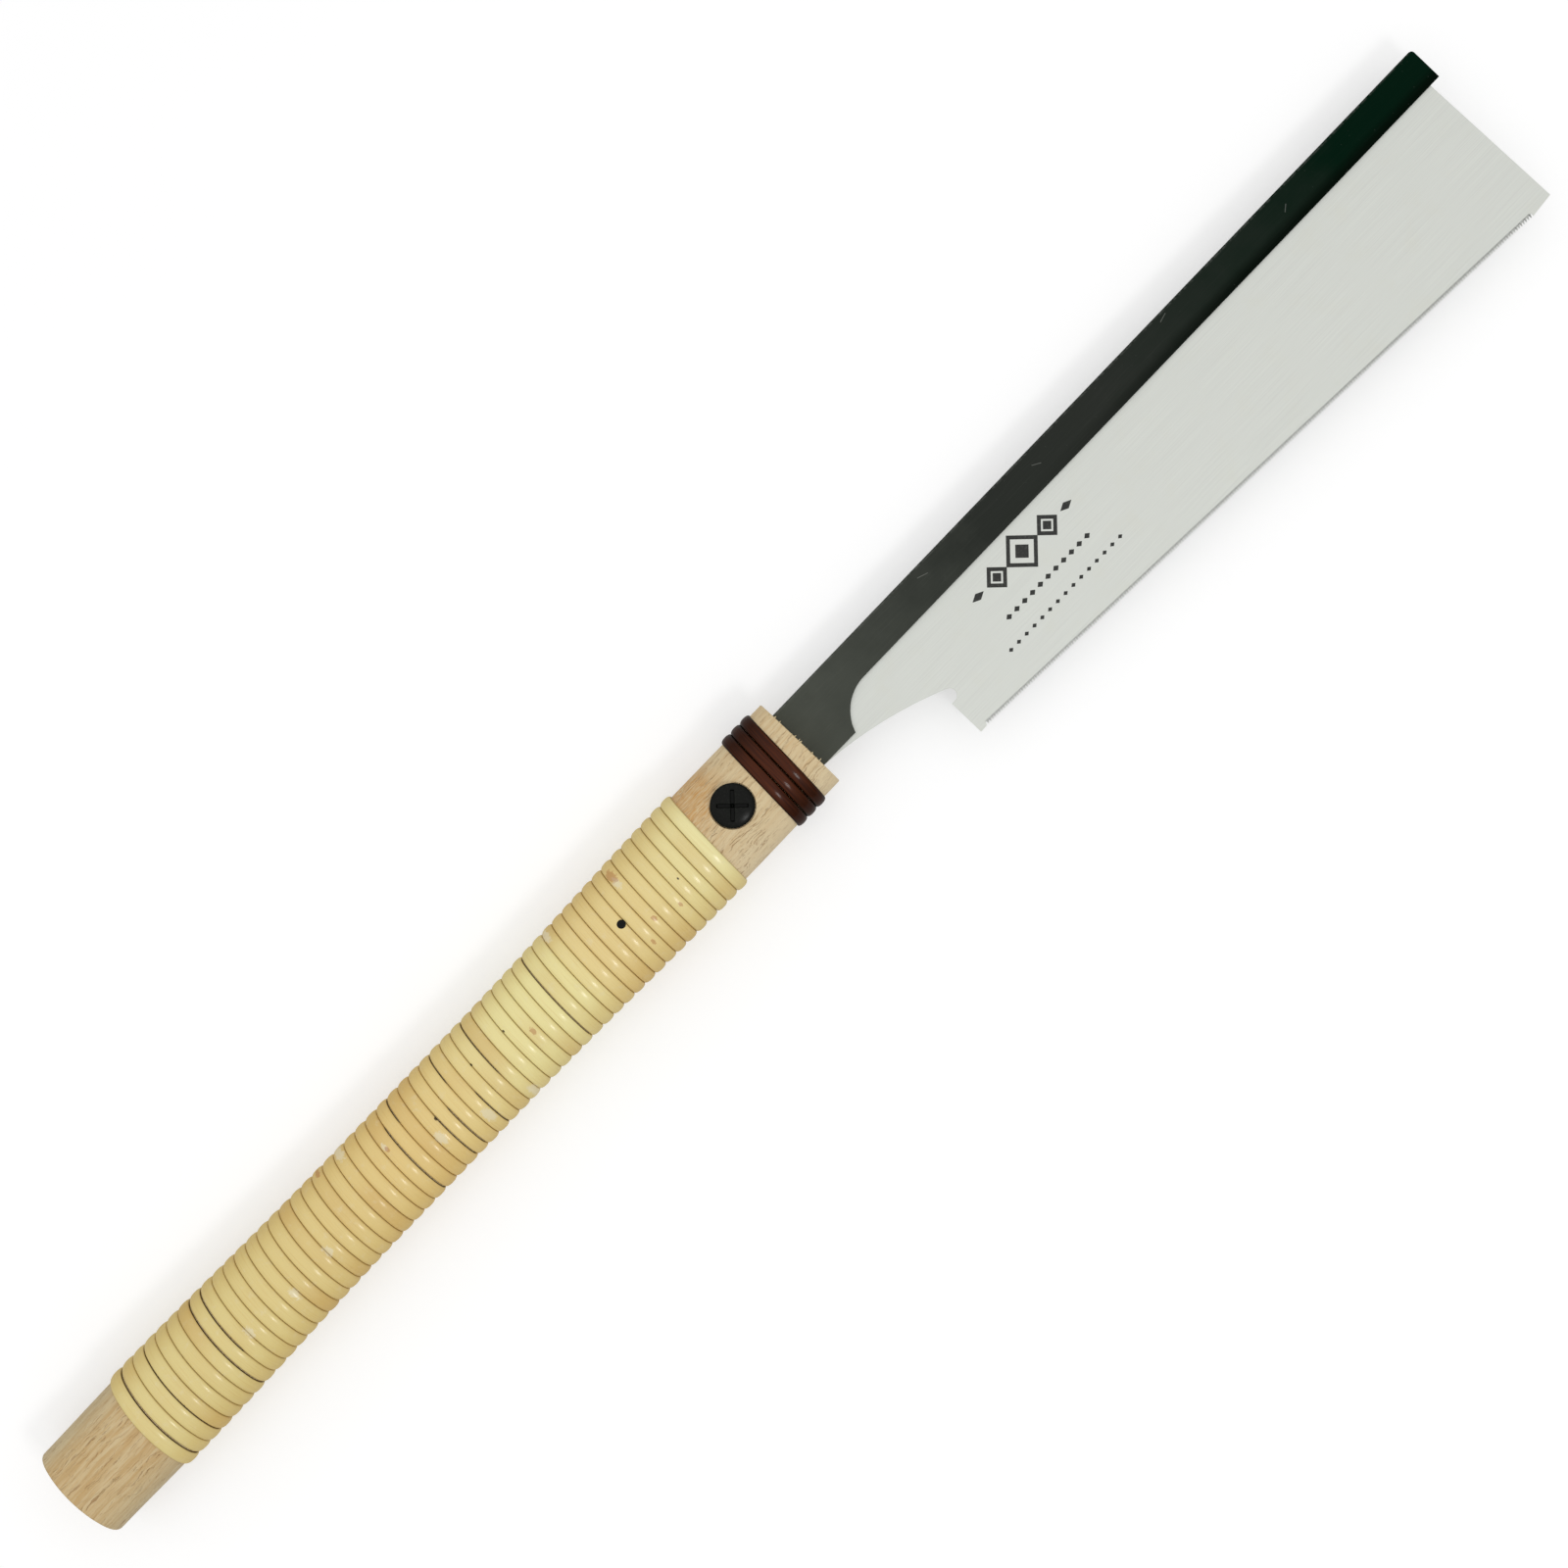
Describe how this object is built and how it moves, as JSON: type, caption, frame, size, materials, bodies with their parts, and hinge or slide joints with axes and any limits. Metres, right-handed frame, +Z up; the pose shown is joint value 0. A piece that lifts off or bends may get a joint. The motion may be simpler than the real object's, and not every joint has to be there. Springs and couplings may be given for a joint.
{
  "type": "japanese pull saw",
  "caption": "Backed cross-cut pull saw: fine-toothed thin blade in a folded steel back, on a long oval handle bound with cane.",
  "frame": {"origin": "centre of the bounding box at its base, on the surface that the saw lies on, with the clamp screw's head up", "axes": "+X along the handle towards the blade's tip, -Y towards the teeth, +Z up out of the side with the screw's head"},
  "size_m": [0.628, 0.0716, 0.0285],
  "materials": {
    "oak": "bare, sanded open-grained wood",
    "rattan": "glossy split cane",
    "dark_cane": "dark lacquered cane",
    "black_steel": "blackened, satin",
    "blade_steel": "satin ground",
    "black_hardware": "black oxide, semi-gloss"
  },
  "bodies": {
    "handle": {"handle_wood": "oak", "rattan_grip": "rattan", "front_binding": "dark_cane", "clamp_nut": "black_hardware", "slit_pin": "black_hardware"},
    "blade": {"blade_spine": "black_steel", "saw_blade": "blade_steel"},
    "screw_lift": {"screw_washer": "black_hardware"},
    "screw": {"clamp_screw": "black_hardware"}
  },
  "joints": [
    {"name": "blade_slide", "type": "slide", "parent": "handle", "child": "blade", "axis": [1, 0, 0], "range_m": [0, 0.09]},
    {"name": "screw_travel", "type": "slide", "parent": "handle", "child": "screw_lift", "axis": [0, 0, 1], "range_m": [0, 0.0048]},
    {"name": "screw_turn", "type": "hinge", "parent": "screw_lift", "child": "screw", "pos_m": [-0.0108, 0.0185, 0.02585], "axis": [0, 0, 1], "range_deg": [0, 2160]}
  ],
  "couplings": [
    {"joint": "screw_turn", "follows": "screw_travel", "rad_per_m": 7854}
  ]
}
